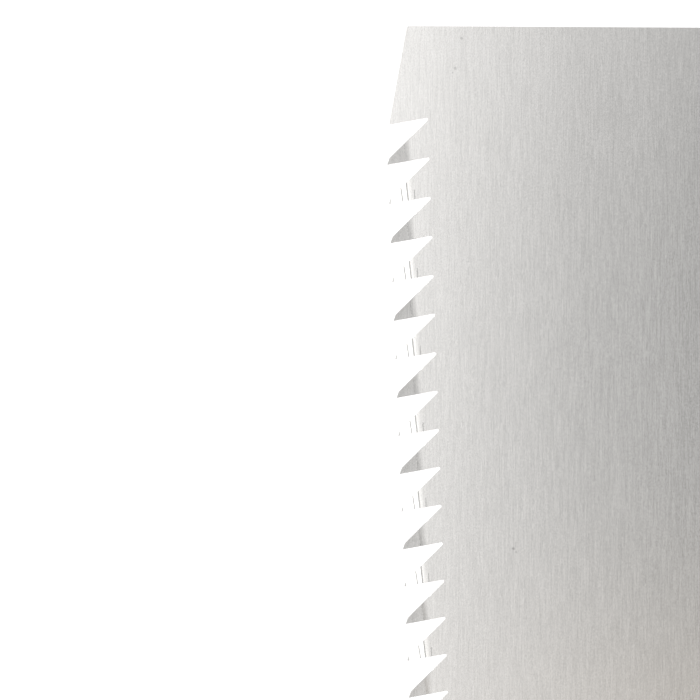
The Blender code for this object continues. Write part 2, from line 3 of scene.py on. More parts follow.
import bmesh
import bpy
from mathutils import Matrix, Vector


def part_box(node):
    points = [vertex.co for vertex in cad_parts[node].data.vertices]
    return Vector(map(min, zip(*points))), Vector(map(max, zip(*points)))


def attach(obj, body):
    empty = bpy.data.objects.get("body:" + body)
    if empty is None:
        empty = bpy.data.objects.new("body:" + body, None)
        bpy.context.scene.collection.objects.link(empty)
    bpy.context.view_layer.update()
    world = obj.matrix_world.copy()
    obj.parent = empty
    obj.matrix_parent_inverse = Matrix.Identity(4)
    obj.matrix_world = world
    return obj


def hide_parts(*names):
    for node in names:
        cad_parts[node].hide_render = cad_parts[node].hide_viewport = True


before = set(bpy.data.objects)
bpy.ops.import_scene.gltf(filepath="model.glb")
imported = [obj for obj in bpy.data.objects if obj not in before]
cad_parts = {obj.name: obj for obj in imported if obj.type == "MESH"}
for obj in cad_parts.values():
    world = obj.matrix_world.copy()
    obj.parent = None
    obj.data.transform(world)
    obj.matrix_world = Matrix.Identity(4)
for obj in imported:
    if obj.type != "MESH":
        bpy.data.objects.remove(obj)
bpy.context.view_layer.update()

mm = 0.001
weld = 0.0005 * mm  # points closer than this become one
past = 5.0 * mm  # a cutter reaches this far past what it cuts
mostOf = (0.3, 0.7)  # most of a noise lies between these
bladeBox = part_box("blade")
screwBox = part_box("clamp_screw")
toeY = bladeBox[1].y
sheetZ = (bladeBox[0].z + bladeBox[1].z) / 2  # middle of the blade's steel
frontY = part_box("handle_core_upper")[1].y  # front of the handle
screwY = (screwBox[0].y + screwBox[1].y) / 2
scene = bpy.context.scene
scene.view_settings.view_transform = "Standard"


# Nodes and materials.
def addNode(tree, kind, inputs=None, **settings):
    made = tree.nodes.new("ShaderNode" + kind)
    for name, value in settings.items():
        setattr(made, name, value)
    for name, value in (inputs or {}).items():
        if isinstance(value, bpy.types.NodeSocket):
            tree.links.new(value, made.inputs[name])
        else:
            made.inputs[name].default_value = value
    return made


def calc(tree, operation, first, second=0.0, third=0.0):
    return addNode(tree, "Math", {0: first, 1: second, 2: third}, operation=operation).outputs[0]


def spread(tree, value, low, high, toLow, toHigh, curve="LINEAR"):
    names = {"Value": value, "From Min": low, "From Max": high, "To Min": toLow, "To Max": toHigh}
    return addNode(tree, "MapRange", names, interpolation_type=curve).outputs["Result"]


def stretched(tree, place, grain):
    # grain is the size of one grain along each axis, in metres
    scale = tuple(1 / size for size in grain)
    return addNode(tree, "VectorMath", {0: place, 1: scale}, operation="MULTIPLY").outputs["Vector"]


def noise(tree, place, grain, detail=2.0, rough=0.5):
    names = {"Vector": stretched(tree, place, grain), "Scale": 1.0, "Detail": detail, "Roughness": rough}
    return addNode(tree, "TexNoise", names).outputs["Fac"]


def ramp(tree, value, stops, curve="LINEAR"):
    made = addNode(tree, "ValToRGB", {"Fac": value})
    made.color_ramp.interpolation = curve
    while len(made.color_ramp.elements) < len(stops):
        made.color_ramp.elements.new(1.0)
    for element, (place, colour) in zip(made.color_ramp.elements, stops):
        element.position = place
        element.color = (*colour, 1.0)
    return made.outputs["Color"]


def blendColours(tree, share, first, second, way="MIX"):
    made = addNode(tree, "Mix", {"Factor": share}, data_type="RGBA", blend_type=way)
    for index, colour in ((6, first), (7, second)):
        if isinstance(colour, bpy.types.NodeSocket):
            tree.links.new(colour, made.inputs[index])
        else:
            made.inputs[index].default_value = (*colour, 1.0)
    return made.outputs[2]


def shade(tree, colour, share):
    # a colour times a number
    grey = addNode(tree, "CombineColor", {"Red": share, "Green": share, "Blue": share}).outputs["Color"]
    return blendColours(tree, 1.0, colour, grey, "MULTIPLY")


def newMaterial(name, **constants):
    made = bpy.data.materials.new(name)
    made.use_nodes = True
    tree = made.node_tree
    shader = tree.nodes["Principled BSDF"]
    for socket, value in constants.items():
        shader.inputs[socket.replace("_", " ")].default_value = value
    place = addNode(tree, "TexCoord").outputs["Object"]
    return made, tree, shader, place


def bumpFrom(tree, height, distance):
    return addNode(tree, "Bump", {"Height": height, "Distance": distance}).outputs["Normal"]


# Meshes and pieces.
def makePiece(name, shape, material, body, nodes, sharpOver=30.0):
    bmesh.ops.remove_doubles(shape, verts=shape.verts, dist=weld)
    bmesh.ops.dissolve_degenerate(shape, dist=weld, edges=shape.edges)
    for edge in shape.edges:
        if len(edge.link_faces) != 2 or edge.calc_face_angle() > math.radians(sharpOver):
            edge.smooth = False
    for face in shape.faces:
        face.smooth = True
    mesh = bpy.data.meshes.new(name)
    shape.to_mesh(mesh)
    shape.free()
    piece = bpy.data.objects.new(name, mesh)
    scene.collection.objects.link(piece)
    mesh.materials.append(material)
    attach(piece, body)
    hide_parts(*nodes)


def skin(rings, closed=False, halves=False):
    # quads between rings of points; half rings get one flat face across their ends
    shape = bmesh.new()
    rows = [[shape.verts.new(point) for point in ring] for ring in rings]
    sides = len(rows[0]) - (1 if halves else 0)
    for step in range(len(rows) if closed else len(rows) - 1):
        here, there = rows[step], rows[(step + 1) % len(rows)]
        for side in range(sides):
            other = (side + 1) % len(here)
            shape.faces.new((here[side], here[other], there[other], there[side]))
    if not closed:
        shape.faces.new(rows[0])
        shape.faces.new(rows[-1])
    if halves:
        shape.faces.new([row[0] for row in rows] + [row[-1] for row in reversed(rows)])
    bmesh.ops.recalc_face_normals(shape, faces=shape.faces)
    return shape


def turned(profile, centre, sides=64):
    angles = [2 * math.pi * side / sides for side in range(sides)]
    x, y, z = centre
    return skin([[(x + r * math.cos(a), y + r * math.sin(a), z + h) for a in angles] for r, h in profile])


def prism(outline, low, high):
    return skin([[(x, y, z) for x, y in outline] for z in (low, high)])


def block(low, high):
    (x0, y0, z0), (x1, y1, z1) = low, high
    return prism([(x0, y0), (x1, y0), (x1, y1), (x0, y1)], z0, z1)


def carve(shape, cuts, rim=0.0, rimAngle=40.0):
    # cuts a shape by others, rounds its sharp edges and gives the result back
    def loose(part, name):
        mesh = bpy.data.meshes.new(name)
        part.to_mesh(mesh)
        part.free()
        made = bpy.data.objects.new(name, mesh)
        scene.collection.objects.link(made)
        return made
    blank = loose(shape, "blank")
    tools = []
    for operation, cutter in cuts:
        tools.append(loose(cutter, "cutter"))
        modifier = blank.modifiers.new("cut", "BOOLEAN")
        modifier.operation = operation
        modifier.solver = "EXACT"
        modifier.object = tools[-1]
    if rim:
        modifier = blank.modifiers.new("rim", "BEVEL")
        modifier.width = rim
        modifier.segments = 3
        modifier.limit_method = "ANGLE"
        modifier.angle_limit = math.radians(rimAngle)
    cut = blank.evaluated_get(bpy.context.evaluated_depsgraph_get())
    result = bmesh.new()
    result.from_mesh(cut.to_mesh())
    for made in [blank, *tools]:
        mesh = made.data
        bpy.data.objects.remove(made)
        bpy.data.meshes.remove(mesh)
    return result


def roundedCorner(before, corner, after, radius, points):
    before, corner, after = (Vector(place) for place in (before, corner, after))
    towards, away = (before - corner).normalized(), (after - corner).normalized()
    half = towards.angle(away) / 2
    centre = corner + (towards + away).normalized() * radius / math.sin(half)
    first = corner + towards * radius / math.tan(half) - centre
    last = corner + away * radius / math.tan(half) - centre
    sweep = first.angle(last)
    made = []
    for step in range(points):
        share = step / (points - 1)
        turn = first * math.sin((1 - share) * sweep) + last * math.sin(share * sweep)
        made.append(tuple(centre + turn / math.sin(sweep)))
    return made


# Camera, light and floor.
photoView = {
    "centre": (-50.97 * mm, -32.43 * mm),  # from the middle of the toe edge
    "roll": math.radians(0.31),
    "width": 70.0 * mm,  # of the picture, at the blade
    "height": 0.40,  # of the camera above the blade
    "sensor": 36.0,
    "clip": (0.01, 100.0),
}
studio = {
    "floorSize": 60.0,
    "floorColour": (0.85, 0.85, 0.85),
    "floorGlow": 0.38,  # seen only, so that the floor reads white and still takes a shadow
    "fill": 0.40,  # even light from all round
    "keyFrom": (-1.1, 0.9, 1.7),
    "keySpread": math.radians(50.0),
    "keyPower": 2.25,
    "panelGlow": 2.024,  # bright panel overhead, past the rip side
    "panelEdge": (-0.0687, 0.046),  # its soft edge, as a direction
    "panelLean": 0.126,
    "panelHalf": (0.11, 0.19),  # it fades out this far along the blade
    "shadeDepth": 0.90,  # dark lens and ceiling, reflected beside it
    "shadePlace": (0.1077, 0.0068),
    "shadeSize": (0.117, 0.255),
    "shadeCore": 0.171,  # share of it at full depth
    "cardGlow": 0.224,  # pale card past the shade
    "cardEdge": (0.115, 0.171),
    "cardLean": 0.216,
    "warmTint": (1.24, 1.0, 0.74),  # warm corner of the room
    "warmPlace": (0.112, -0.112),
    "warmSize": (0.078, 0.080),
    "warmCore": 0.2,
    "walls": ((0.0, 1.0), (0.12, 0.9), (0.35, 0.6), (0.7, 0.66), (0.93, 1.024)),  # how bright, by height
    "overhead": (0.75, 0.92),  # panel, shade and card fade out this far down from straight up
}


def addCamera():
    data = bpy.data.cameras.new("photoCamera")
    camera = bpy.data.objects.new("photoCamera", data)
    scene.collection.objects.link(camera)
    data.sensor_width = photoView["sensor"]
    data.lens = photoView["sensor"] * photoView["height"] / photoView["width"]
    data.clip_start, data.clip_end = photoView["clip"]
    x, y = photoView["centre"]
    top = sheetZ + bladeCuts["thickness"] / 2
    camera.location = (x, toeY + y, top + photoView["height"])
    camera.rotation_euler = (0.0, 0.0, photoView["roll"])
    scene.camera = camera


def seenRays(tree):
    path = addNode(tree, "LightPath").outputs
    direct = calc(tree, "MAXIMUM", path["Is Camera Ray"], path["Is Glossy Ray"])
    return calc(tree, "MAXIMUM", direct, path["Is Transmission Ray"])


def softPatch(tree, direction, place, size, core):
    # 1 in the middle of an oval of directions, 0 outside it
    middle, scale = (*place, 0.0), (1 / size[0], 1 / size[1], 0.0)
    away = addNode(tree, "VectorMath", {0: direction, 1: middle}, operation="SUBTRACT").outputs["Vector"]
    flat = addNode(tree, "VectorMath", {0: away, 1: scale}, operation="MULTIPLY").outputs["Vector"]
    far = addNode(tree, "VectorMath", {0: flat}, operation="LENGTH").outputs["Value"]
    return spread(tree, far, core, 1.0, 1.0, 0.0, "SMOOTHSTEP")


def addWorld():
    world = bpy.data.worlds.new("studio")
    scene.world = world
    world.use_nodes = True
    world.cycles.sampling_method = "NONE"
    tree = world.node_tree
    tree.nodes.clear()
    direction = addNode(tree, "TexCoord").outputs["Generated"]
    axes = addNode(tree, "SeparateXYZ", {0: direction}).outputs
    overhead = spread(tree, axes["Z"], *studio["overhead"], 0.0, 1.0, "SMOOTHSTEP")
    leant = calc(tree, "MULTIPLY_ADD", axes["Y"], -studio["panelLean"], axes["X"])
    panel = spread(tree, leant, *studio["panelEdge"], studio["panelGlow"] - 1, 0.0, "SMOOTHSTEP")
    beside = calc(tree, "ABSOLUTE", axes["Y"])
    panel = calc(tree, "MULTIPLY", panel, spread(tree, beside, *studio["panelHalf"], 1.0, 0.0, "SMOOTHSTEP"))
    aslant = calc(tree, "MULTIPLY_ADD", axes["Y"], studio["cardLean"], axes["X"])
    card = spread(tree, aslant, *studio["cardEdge"], 0.0, studio["cardGlow"], "SMOOTHSTEP")
    shadow = softPatch(tree, direction, studio["shadePlace"], studio["shadeSize"], studio["shadeCore"])
    dark = calc(tree, "MULTIPLY", shadow, -studio["shadeDepth"])
    change = calc(tree, "MULTIPLY", calc(tree, "ADD", calc(tree, "ADD", panel, card), dark), overhead)
    walls = ramp(tree, axes["Z"], [(height, (glow,) * 3) for height, glow in studio["walls"]], "B_SPLINE")
    onCamera = addNode(tree, "LightPath").outputs["Is Camera Ray"]
    around = calc(tree, "MAXIMUM", walls, onCamera)
    seen = addNode(tree, "Background", {"Strength": calc(tree, "ADD", change, around)})
    fill = addNode(tree, "Background", {"Strength": studio["fill"]})
    fill.inputs["Color"].default_value = (1.0, 1.0, 1.0, 1.0)
    warm = softPatch(tree, direction, studio["warmPlace"], studio["warmSize"], studio["warmCore"])
    tree.links.new(blendColours(tree, warm, (1.0, 1.0, 1.0), studio["warmTint"]), seen.inputs["Color"])
    both = addNode(tree, "MixShader", {0: seenRays(tree), 1: fill.outputs[0], 2: seen.outputs[0]})
    addNode(tree, "OutputWorld", {"Surface": both.outputs[0]})


def addFloor():
    half = studio["floorSize"] / 2
    shape = bmesh.new()
    corners = ((-half, -half), (half, -half), (half, half), (-half, half))
    shape.faces.new([shape.verts.new((x, y, 0.0)) for x, y in corners])
    mesh = bpy.data.meshes.new("floor")
    shape.to_mesh(mesh)
    shape.free()
    floor = bpy.data.objects.new("floor", mesh)
    scene.collection.objects.link(floor)
    paper = bpy.data.materials.new("floorPaper")
    paper.use_nodes = True
    paper.cycles.emission_sampling = "NONE"
    tree = paper.node_tree
    tree.nodes.clear()
    matt = addNode(tree, "BsdfDiffuse", {"Color": (*studio["floorColour"], 1.0)})
    glowing = calc(tree, "MULTIPLY", seenRays(tree), studio["floorGlow"])
    glow = addNode(tree, "Emission", {"Strength": glowing})
    both = addNode(tree, "AddShader", {0: matt.outputs[0], 1: glow.outputs[0]})
    addNode(tree, "OutputMaterial", {"Surface": both.outputs[0]})
    mesh.materials.append(paper)


def addKey():
    data = bpy.data.lights.new("keyLamp", "SUN")
    data.angle = studio["keySpread"]
    data.energy = studio["keyPower"]
    lamp = bpy.data.objects.new("keyLamp", data)
    scene.collection.objects.link(lamp)
    lamp.location = studio["keyFrom"]
    lamp.rotation_euler = (-lamp.location).to_track_quat("-Z", "Y").to_euler()
    lamp.visible_glossy = False  # the flat steel mirrors the room and not the lamp


# Blade.
bladeCuts = {
    "length": 250.0 * mm,  # toe edge to heel ledge
    "toeWidth": 96.0 * mm,
    "lean": math.radians(2.63),  # each tooth line leans in towards the handle
    "thickness": 0.5 * mm,
    "toeRelief": 2.55 * mm,
    "toeRound": 0.3 * mm,
    "noseStep": 0.36 * mm,
    "heelPlain": 8.0 * mm,
    "heelStep": 1.0 * mm,
    "heelRound": 2.0 * mm,
    "heelLedge": 3.5 * mm,
    "neckHalf": 10.5 * mm,
    "neckStart": 30.3 * mm,  # in front of the handle
    "tangHalf": 8.7 * mm,
    "tangEnd": -6.0 * mm,
    "tangChamfer": 2.0 * mm,
    "prongGap": 2.7 * mm,
    "edgeRound": 0.06 * mm,
    "arcPoints": 32,
    "cornerPoints": 9,
    "sharpOver": 6.0,  # degrees; a fold this sharp shows as an edge
}
ripTeeth = {
    "side": -1,
    "firstTip": 13.915 * mm,
    "pitch": 3.938 * mm,
    "pitchStep": 0.0198 * mm,  # each pitch is finer than the one before by this
    "facetAlong": 0.167,  # these shares are of the pitch
    "facetDeep": 0.0635,
    "backSlope": 0.907,
    "frontSlope": -0.142,
    "gulletRound": 0.040,
    "gulletPoints": 7,
    "foot": 0.72,
    "bend": (0.65, 0.482),  # where the set begins and ends
    "bendCurve": 0.40,  # share of its slope that curves in; the rest is a crease at the end
    "bendLines": 8,
    "faceLines": (0.30, 0.18),
    "setOut": 0.155 * mm,
    "rootDepth": 6.5 * mm,
    "marks": ((0.672, 0.045 * mm, 0.0), (0.505, 0.060 * mm, 1.0), (0.366, 0.050 * mm, 1.0)),
    # each set mark: place, half width, how deep it stays towards the tooth's back
    "markEnd": (0.6, 0.615),  # where a mark that fades does so, as a share from back to front
    "markClear": 1.4,  # no other line this close, in half widths
    "markSlope": 0.53,
    "markTilt": 0.040,
    "burr": (0.05 * mm, 0.027 * mm),  # filed edge: width and fall
    "burrShare": 0.03,
    "burrRows": 4,  # lines over which it fades in
    "tipFall": 0.066 * mm,  # the inner side of the tip is worn away by this
}
crosscutTeeth = {
    "side": 1,
    "firstTip": 11.5 * mm,
    "pitch": 1.70 * mm,
    "pitchStep": 0.0,
    "facetAlong": 0.150,
    "facetDeep": 0.120,
    "backSlope": 0.50,
    "frontSlope": 0.22,
    "gulletRound": 0.0,
    "setOut": 0.10 * mm,
    "bevel": 0.19,
    "bevelTip": 0.42,
    "rootDepth": 4.5 * mm,
}
leanSin, leanCos = math.sin(bladeCuts["lean"]), math.cos(bladeCuts["lean"])


def onEdge(side, along, depth):
    x = bladeCuts["toeWidth"] / 2 - along * leanSin - depth * leanCos
    return side * x, toeY - along * leanCos + depth * leanSin


def onToe(side, depth):
    return onEdge(side, depth * leanSin / leanCos, depth)


def tipAt(row, tooth):
    return row["firstTip"] + tooth * row["pitch"] - row["pitchStep"] * tooth * (tooth - 1) / 2


def pitchAt(row, tooth):
    return row["pitch"] - row["pitchStep"] * tooth


def frontAt(row, tooth, depth):
    return tipAt(row, tooth) + row["frontSlope"] * depth


def backAt(row, tooth, depth):
    pitch = pitchAt(row, tooth)
    start = tipAt(row, tooth) - row["facetAlong"] * pitch
    return start - row["backSlope"] * (depth - row["facetDeep"] * pitch)


def gulletDepth(row, gullet):
    gap = backAt(row, gullet, 0.0) - frontAt(row, gullet - 1, 0.0)
    return gap / (row["frontSlope"] + row["backSlope"])


def addPoint(sheet, top, bottom=None, lift=0.0, dip=(0.0, 0.0)):
    # one point on each face of the steel; dip takes each of them in
    half = bladeCuts["thickness"] / 2
    bottom = bottom or top
    sheet["top"].append((*top, sheetZ + lift + half - dip[0]))
    sheet["bottom"].append((*bottom, sheetZ + lift - half + dip[1]))
    return len(sheet["top"]) - 1


def addFace(sheet, corners, side=-1):
    sheet["faces"].append(corners if side < 0 else corners[::-1])


def gulletPlaces(row, gullet):
    depth = gulletDepth(row, gullet)
    bottom = (frontAt(row, gullet - 1, depth), depth)
    if not row["gulletRound"]:
        return [bottom]
    upper, lower = (frontAt(row, gullet - 1, 0.0), 0.0), (backAt(row, gullet, 0.0), 0.0)
    return roundedCorner(upper, bottom, lower, row["gulletRound"] * pitchAt(row, gullet), row["gulletPoints"])


def ripLines(row):
    # each line across a tooth, root first: its share of the pitch at the front and at the back,
    # the depth of a mark on it, and the share of that depth kept at the back
    start, end = row["bend"]
    steps = row["bendLines"]
    lines = [(row["foot"], 0.0, 0.0)] + [(share, 0.0, 0.0) for share in row["faceLines"]]
    lines += [(start + (end - start) * step / (steps - 1), 0.0, 0.0) for step in range(steps)]
    for share, halfWidth, across in row["marks"]:
        half = halfWidth / row["pitch"]
        lines = [line for line in lines if abs(line[0] - share) > row["markClear"] * half]
        lines.append((share, halfWidth * row["markSlope"], across))
        lines += [(share + half, 0.0, 0.0), (share - half, 0.0, 0.0)]
    lines.append((row["facetDeep"], 0.0, 0.0))
    reach = row["foot"] - row["facetDeep"]
    made = []
    for share, depth, across in sorted(lines, reverse=True):
        tilt = row["markTilt"] * math.sin(math.pi * (share - row["facetDeep"]) / reach)
        made.append((share, share - tilt, depth, across))
    return made


def addRipTooth(sheet, row, tooth):
    pitch = pitchAt(row, tooth)
    up = tooth % 2 == 0
    start, end = (share * pitch for share in row["bend"])
    bend = start - end
    curve = row["bendCurve"]
    slope = row["setOut"] / (curve * bend / 2 + end) * (1 if up else -1)
    burrWidth, burrFall = row["burr"]

    def lift(depth):
        if depth >= start:
            return 0.0
        if depth > end:
            return slope * curve * (start - depth) ** 2 / (2 * bend)
        return slope * (curve * bend / 2 + end - depth)

    def sides(outer, inner):
        return (outer, inner) if up else (inner, outer)

    rows = []
    lines = ripLines(row)
    crease = min(range(len(lines)), key=lambda number: abs(lines[number][0] - row["bend"][1]))
    skew = (lines[crease][0] - lines[crease][1]) * pitch  # the bend runs aslant, as the marks do
    fadeFrom, fadeTo = row["markEnd"]
    edge = row["burrShare"]
    for number, (frontShare, backShare, mark, across) in enumerate(lines):
        frontDeep, backDeep = frontShare * pitch, backShare * pitch
        back, front = backAt(row, tooth, backDeep), frontAt(row, tooth, frontDeep)
        fall = burrFall * min(1.0, number / row["burrRows"], len(lines) - 1 - number)
        columns = [(back, 0.0, fall, across), (back + burrWidth, edge, 0.0, across)]
        for share, kept in ((fadeFrom, across), (fadeTo, 1.0)):
            columns.append((back + (front - back) * share, share, 0.0, kept))
        columns += [(front - burrWidth, 1 - edge, 0.0, 1.0), (front, 1.0, fall, 1.0)]
        made = []
        for along, share, burr, kept in columns:
            depth = backDeep + (frontDeep - backDeep) * share
            place = onEdge(row["side"], along, depth)
            bent = lift(depth + skew * (1 - share))
            made.append(addPoint(sheet, place, lift=bent, dip=sides(burr, mark * kept)))
        rows.append(made)
    for here, there in zip(rows, rows[1:]):
        for step in range(len(here) - 1):
            addFace(sheet, [here[step], there[step], there[step + 1], here[step + 1]])
        sheet["creases"] += [(here[1], there[1]), (here[-2], there[-2])]
    tipPlace = onEdge(row["side"], tipAt(row, tooth), 0.0)
    tip = addPoint(sheet, tipPlace, lift=lift(0.0), dip=sides(0.0, row["tipFall"]))
    for here, there in zip(rows[-1], rows[-1][1:]):
        addFace(sheet, [here, tip, there])
    for line in (rows[0], rows[crease]):
        sheet["creases"] += list(zip(line, line[1:]))
    return rows[0], [line[0] for line in rows], [tip], [line[-1] for line in reversed(rows)]


def addCrosscutTooth(sheet, row, tooth, above, below):
    pitch = pitchAt(row, tooth)
    up = tooth % 2 == 0
    deep = gulletDepth(row, tooth)
    slope = row["setOut"] / deep * (1 if up else -1)

    def corner(edgeAt, depth, inwards):
        farDepth = max(depth, row["bevelTip"] * pitch)
        filed = row["bevel"] * pitch * (1 - farDepth / deep)
        near = onEdge(row["side"], edgeAt(row, tooth, depth), depth)
        far = onEdge(row["side"], edgeAt(row, tooth, farDepth) + inwards * filed, farDepth)
        return addPoint(sheet, near if up else far, far if up else near, slope * (deep - depth))

    tip = [corner(backAt, row["facetDeep"] * pitch, 1), corner(frontAt, 0.0, -1)]
    addFace(sheet, above[-1:] + tip + below[:1], row["side"])
    return tip


def addTeeth(sheet, row):
    teeth = 0
    while tipAt(row, teeth) < (bladeCuts["length"] - bladeCuts["heelPlain"]) / leanCos:
        teeth += 1
    gullets, roots = [], []
    for gullet in range(teeth + 1):
        places = gulletPlaces(row, gullet)
        gullets.append([addPoint(sheet, onEdge(row["side"], *place)) for place in places])
        roots.append(addPoint(sheet, onEdge(row["side"], places[len(places) // 2][0], row["rootDepth"])))
    middle = len(gullets[0]) // 2
    outline = []
    for tooth in range(teeth):
        above, below = gullets[tooth], gullets[tooth + 1]
        if row["side"] < 0:
            foot, backs, tip, fronts = addRipTooth(sheet, row, tooth)
        else:
            foot, backs, fronts = [], [], []
            tip = addCrosscutTooth(sheet, row, tooth, above, below)
        base = above[middle:] + foot + below[: middle + 1] + [roots[tooth + 1], roots[tooth]]
        addFace(sheet, base, row["side"])
        outline += above + backs + tip + fronts
    return outline + gullets[-1], roots, gullets[0][: middle + 1], gullets[-1][middle:], teeth


def addNose(sheet, row, root, firstGullet):
    noseEnd = onEdge(row["side"], frontAt(row, -1, bladeCuts["noseStep"]), bladeCuts["noseStep"])
    inner = onToe(row["side"], row["rootDepth"])
    corner = onToe(row["side"], bladeCuts["toeRelief"])
    arc = roundedCorner(inner, corner, noseEnd, bladeCuts["toeRound"], bladeCuts["cornerPoints"])
    innerPoint = addPoint(sheet, inner)
    outline = [addPoint(sheet, place) for place in arc + [noseEnd]]
    addFace(sheet, [innerPoint] + outline + firstGullet + [root], row["side"])
    return innerPoint, outline


def addHeel(sheet, row, teeth):
    cuts = bladeCuts
    heelY = toeY - cuts["length"]
    heelHalf = cuts["toeWidth"] / 2 - (cuts["length"] * leanSin + cuts["heelStep"]) / leanCos
    radius = heelHalf - cuts["neckHalf"] - cuts["heelLedge"]
    start = onEdge(row["side"], backAt(row, teeth, cuts["heelStep"]), cuts["heelStep"])
    ledgeEnd = (row["side"] * (cuts["neckHalf"] + radius), heelY)
    corner = (row["side"] * heelHalf, heelY)
    places = [start] + roundedCorner(start, corner, ledgeEnd, cuts["heelRound"], cuts["cornerPoints"])
    for step in range(cuts["arcPoints"]):
        turn = math.pi / 2 * step / (cuts["arcPoints"] - 1)
        x = cuts["neckHalf"] + radius * (1 - math.sin(turn))
        places.append((row["side"] * x, heelY - radius * (1 - math.cos(turn))))
    neckY = frontY + cuts["neckStart"]
    places += [(row["side"] * cuts["neckHalf"], neckY), (row["side"] * cuts["tangHalf"], neckY)]
    return [addPoint(sheet, place) for place in places]


def tangPlaces():
    half, gap, end = bladeCuts["tangHalf"], bladeCuts["prongGap"], frontY + bladeCuts["tangEnd"]
    chamfer = bladeCuts["tangChamfer"]
    prong = [(-half, end + chamfer), (-half + chamfer, end), (-gap, end)]
    turns = [math.pi * (1 - step / (bladeCuts["arcPoints"] - 1)) for step in range(bladeCuts["arcPoints"])]
    roundEnd = [(gap * math.cos(a), screwY + gap * math.sin(a)) for a in turns]
    return prong + roundEnd + [(-x, y) for x, y in reversed(prong)]


def addPanel(sheet, left, right):
    i = j = 0
    while i + 1 < len(left) or j + 1 < len(right):
        leftNext = sheet["top"][left[i + 1]][1] if i + 1 < len(left) else -math.inf
        rightNext = sheet["top"][right[j + 1]][1] if j + 1 < len(right) else -math.inf
        if leftNext >= rightNext:
            addFace(sheet, [left[i], left[i + 1], right[j]])
            i += 1
        else:
            addFace(sheet, [left[i], right[j + 1], right[j]])
            j += 1


def bladeShape():
    sheet = {"top": [], "bottom": [], "faces": [], "creases": []}
    edges, toothed = [], set()
    for row in (ripTeeth, crosscutTeeth):
        outline, roots, firstGullet, lastGullet, teeth = addTeeth(sheet, row)
        toothed.update(outline)
        inner, nose = addNose(sheet, row, roots[0], firstGullet)
        heel = addHeel(sheet, row, teeth)
        edges.append(([inner] + nose + outline + heel, [inner] + roots, lastGullet + heel))
    (ripEdge, ripRoot, ripHeel), (crossEdge, crossRoot, crossHeel) = edges
    addPanel(sheet, ripRoot, crossRoot)
    addFace(sheet, ripRoot[-1:] + ripHeel + crossHeel[::-1] + crossRoot[-1:])
    tang = [addPoint(sheet, place) for place in tangPlaces()]
    addFace(sheet, ripEdge[-1:] + tang + crossEdge[-1:])
    rim = ripEdge + tang + crossEdge[::-1]

    shape = bmesh.new()
    top = [shape.verts.new(place) for place in sheet["top"]]
    bottom = [shape.verts.new(place) for place in sheet["bottom"]]
    for corners in sheet["faces"]:
        shape.faces.new([top[i] for i in corners])
        shape.faces.new([bottom[i] for i in reversed(corners)])
    plain = []
    for here, there in zip(rim, rim[1:] + rim[:1]):
        shape.faces.new((top[here], bottom[here], bottom[there], top[there]))
        if here not in toothed and there not in toothed:
            plain += [shape.edges.get((side[here], side[there])) for side in (top, bottom)]
    for here, there in sheet["creases"]:  # burrs, feet and bends shade as edges
        for side in (top, bottom):
            shape.edges.get((side[here], side[there])).smooth = False
    bmesh.ops.bevel(shape, geom=plain, offset=bladeCuts["edgeRound"], segments=2, profile=0.5, affect="EDGES")
    many = [face for face in shape.faces if len(face.verts) > 4]
    bmesh.ops.triangulate(shape, faces=many, quad_method="BEAUTY", ngon_method="BEAUTY")
    grain = shape.loops.layers.uv.new("grain")
    for face in shape.faces:
        face.normal_update()
        wall = abs(face.normal.z) < 0.5  # nearer upright than flat
        flow = face.normal.cross((0.0, 0.0, 1.0))
        for loop in face.loops:
            place = loop.vert.co
            loop[grain].uv = (place.z, flow.dot(place)) if wall else place.xy
    return shape


brushedSteel = {
    "colour": (0.715, 0.705, 0.69),
    "roughness": 0.16,
    "roughSwing": 0.006,
    "anisotropy": 0.55,
    "hairs": ((0.130 * mm, 4.0 * mm, mm), (0.115 * mm, 3.0 * mm, mm)),  # two sets of grinding scratches
    "swap": (0.15 * mm, 0.80 * mm, mm),  # how soon one set gives way to the other
    "swapRange": (0.42, 0.58),
    "speck": (0.11 * mm, 0.18 * mm, mm),
    "speckShare": 0.85,
    "hairShade": 0.13,
    "pits": ((-34.53, -52.2, 0.22, 0.70), (-34.25, -52.55, 0.16, 0.82), (-39.98, -1.20, 0.20, 0.78),
             (-40.6, -4.2, 0.20, 0.80), (-40.85, -4.65, 0.12, 0.85)),
    # each dark pit: place from the middle of the toe edge and size in mm, and its shade
    "pitCore": 0.4,
    "bands": ((0.9 * mm, 40.0 * mm, mm, 0.03), (7.0 * mm, 110.0 * mm, mm, 0.05)),  # size and shade
    "hairBump": 0.0003 * mm,
}


